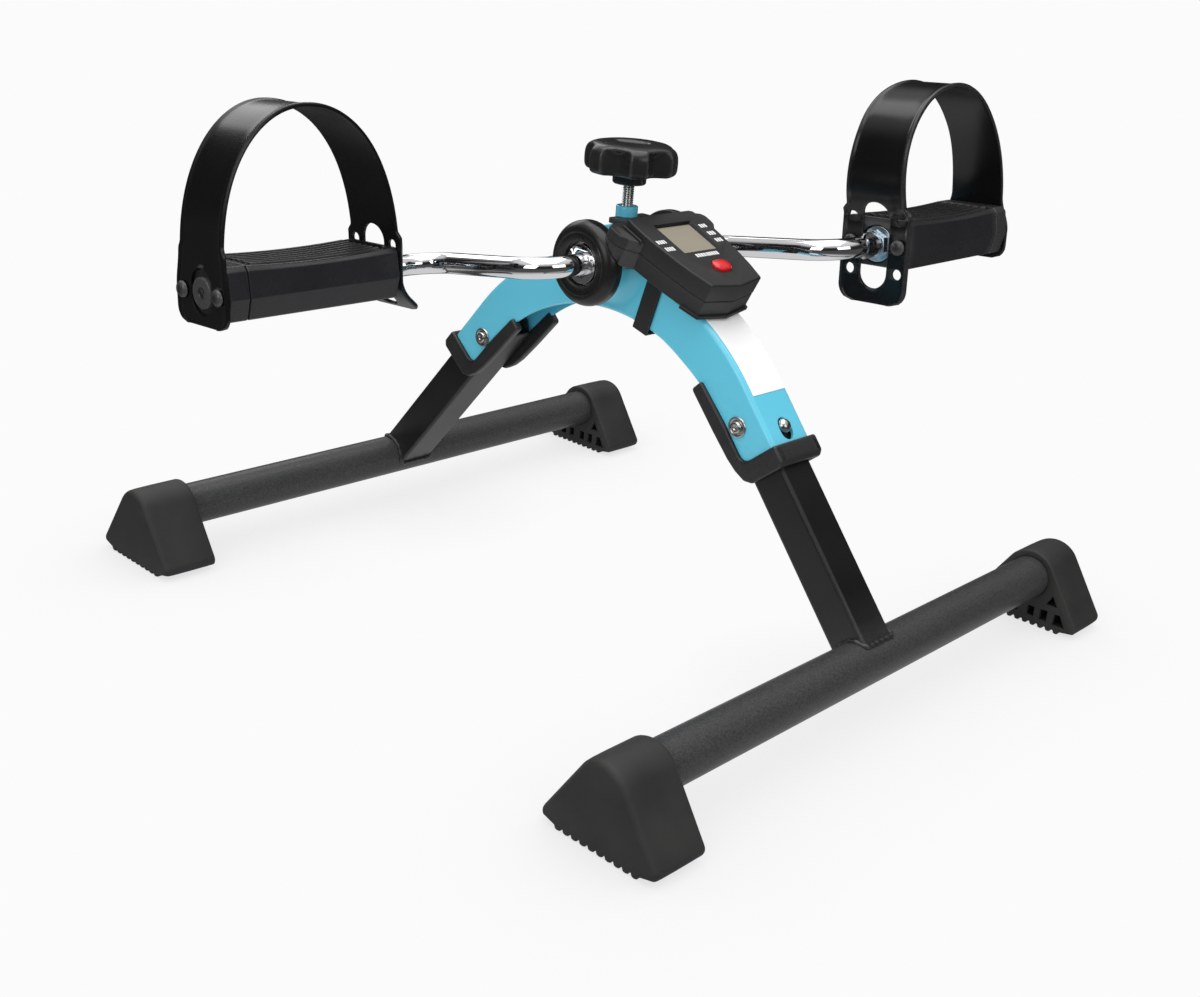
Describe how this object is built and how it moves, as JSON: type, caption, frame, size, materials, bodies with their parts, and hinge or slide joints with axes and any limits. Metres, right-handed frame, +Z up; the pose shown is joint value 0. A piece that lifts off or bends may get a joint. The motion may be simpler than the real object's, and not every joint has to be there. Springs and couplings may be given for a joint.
{
  "type": "folding pedal exerciser",
  "caption": "Floor-standing folding pedal exerciser: arched frame on two hinged legs with rubber feet, cranked pedals with toe straps, friction knob and a small counter.",
  "frame": {"origin": "on the floor, under the middle of the base", "axes": "+Z up; X along the pedal axle and the ground bars, with +X to the right of the user; the user sits towards -Y and the counter faces -Y and up"},
  "size_m": [0.4438, 0.4542, 0.3094],
  "materials": {
    "arch_paint": "satin sky-blue powder coat",
    "black_paint": "satin black powder coat",
    "chrome": "polished chrome plate",
    "zinc": "bluish bright zinc plate",
    "steel": "bright steel",
    "foot_rubber": "matte moulded rubber",
    "pedal_plastic": "satin black polypropylene",
    "strap_plastic": "glossy flexible PVC",
    "guard_plastic": "fine-textured black plastic",
    "cap_plastic": "satin black plastic",
    "knob_plastic": "satin black bakelite",
    "counter_plastic": "fine-textured dark grey ABS",
    "nylon": "natural nylon",
    "brake_pad": "pressed friction pad",
    "lens": "clear acrylic window",
    "lcd": "reflective LCD glass",
    "board": "green circuit board",
    "button_red": "glossy red button",
    "battery": "stainless cell can",
    "label": "plain white film"
  },
  "bodies": {
    "frame": {"arch_frame": "arch_paint", "hub_barrel": "arch_paint", "tension_post": "arch_paint", "hub_bush_left": "nylon", "hub_bush_right": "nylon", "hub_cap_left": "cap_plastic", "hub_cap_right": "cap_plastic", "leg_guard_rear": "guard_plastic", "leg_guard_front": "guard_plastic", "pivot_bolt_rear": "steel", "pivot_bolt_front": "steel", "pivot_nut_rear": "steel", "pivot_nut_front": "steel", "pivot_washers_rear": "nylon", "pivot_washers_front": "nylon", "counter_cover": "counter_plastic", "counter_base": "counter_plastic", "counter_clip": "guard_plastic", "counter_screws": "steel", "counter_lens": "lens", "counter_display": "lcd", "counter_board": "board", "coin_battery": "battery", "battery_door": "counter_plastic", "sensor_switch": "guard_plastic", "blank_label": "label"},
    "crank": {"spindle": "chrome", "crank_arm_left": "chrome", "crank_arm_right": "chrome", "arm_lock_screws": "steel", "thrust_washers": "steel", "sensor_magnet": "steel", "pedal_flange_left": "zinc", "pedal_flange_right": "zinc", "pedal_retainer_left": "steel", "pedal_retainer_right": "steel"},
    "pedal_left": {"pedal_body_left": "pedal_plastic", "pedal_end_cap_left": "pedal_plastic", "toe_strap_left": "strap_plastic"},
    "pedal_right": {"pedal_body_right": "pedal_plastic", "pedal_end_cap_right": "pedal_plastic", "toe_strap_right": "strap_plastic"},
    "leg_rear": {"leg_tube_rear": "black_paint", "pivot_spacer_rear": "steel", "ground_bar_rear": "black_paint", "foot_rear_left": "foot_rubber", "foot_rear_right": "foot_rubber"},
    "leg_front": {"leg_tube_front": "black_paint", "pivot_spacer_front": "steel", "ground_bar_front": "black_paint", "foot_front_left": "foot_rubber", "foot_front_right": "foot_rubber"},
    "snap_rear": {"snap_button_rear": "chrome"},
    "snap_front": {"snap_button_front": "chrome"},
    "shoe": {"brake_shoe": "brake_pad"},
    "knob": {"tension_screw": "steel", "tension_knob": "knob_plastic"},
    "counter_key": {"counter_button": "button_red"}
  },
  "joints": [
    {"name": "crank_spin", "type": "hinge", "parent": "frame", "child": "crank", "pos_m": [0, 0, 0.2047], "axis": [1, 0, 0], "continuous": true},
    {"name": "pedal_left_spin", "type": "hinge", "parent": "crank", "child": "pedal_left", "pos_m": [-0.16, 0.09045, 0.19021], "axis": [1, 0, 0], "continuous": true},
    {"name": "pedal_right_spin", "type": "hinge", "parent": "crank", "child": "pedal_right", "pos_m": [0.16, -0.09045, 0.21919], "axis": [1, 0, 0], "continuous": true},
    {"name": "rear_leg_fold", "type": "hinge", "parent": "frame", "child": "leg_rear", "pos_m": [0, -0.101, 0.1352], "axis": [1, 0, 0], "range_deg": [0, 58]},
    {"name": "front_leg_fold", "type": "hinge", "parent": "frame", "child": "leg_front", "pos_m": [0, 0.101, 0.1352], "axis": [-1, 0, 0], "range_deg": [0, 58]},
    {"name": "rear_snap_press", "type": "slide", "parent": "leg_rear", "child": "snap_rear", "axis": [0, 0.7638, -0.6455], "range_m": [0, 0.009]},
    {"name": "front_snap_press", "type": "slide", "parent": "leg_front", "child": "snap_front", "axis": [0, -0.7638, -0.6455], "range_m": [0, 0.009]},
    {"name": "shoe_lift", "type": "slide", "parent": "frame", "child": "shoe", "axis": [0, 0, 1], "range_m": [0, 0.002]},
    {"name": "knob_turn", "type": "hinge", "parent": "shoe", "child": "knob", "pos_m": [0, 0.005, 0.25], "axis": [0, 0, 1], "range_deg": [0, 720]},
    {"name": "counter_key_press", "type": "slide", "parent": "frame", "child": "counter_key", "axis": [0, 0.3971, -0.9178], "range_m": [0, 0.0008]}
  ],
  "couplings": [
    {"joint": "rear_snap_press", "follows": "rear_leg_fold", "m_per_rad": 0.0088463},
    {"joint": "front_snap_press", "follows": "front_leg_fold", "m_per_rad": 0.0088463},
    {"joint": "knob_turn", "follows": "shoe_lift", "rad_per_m": 6283.1}
  ]
}
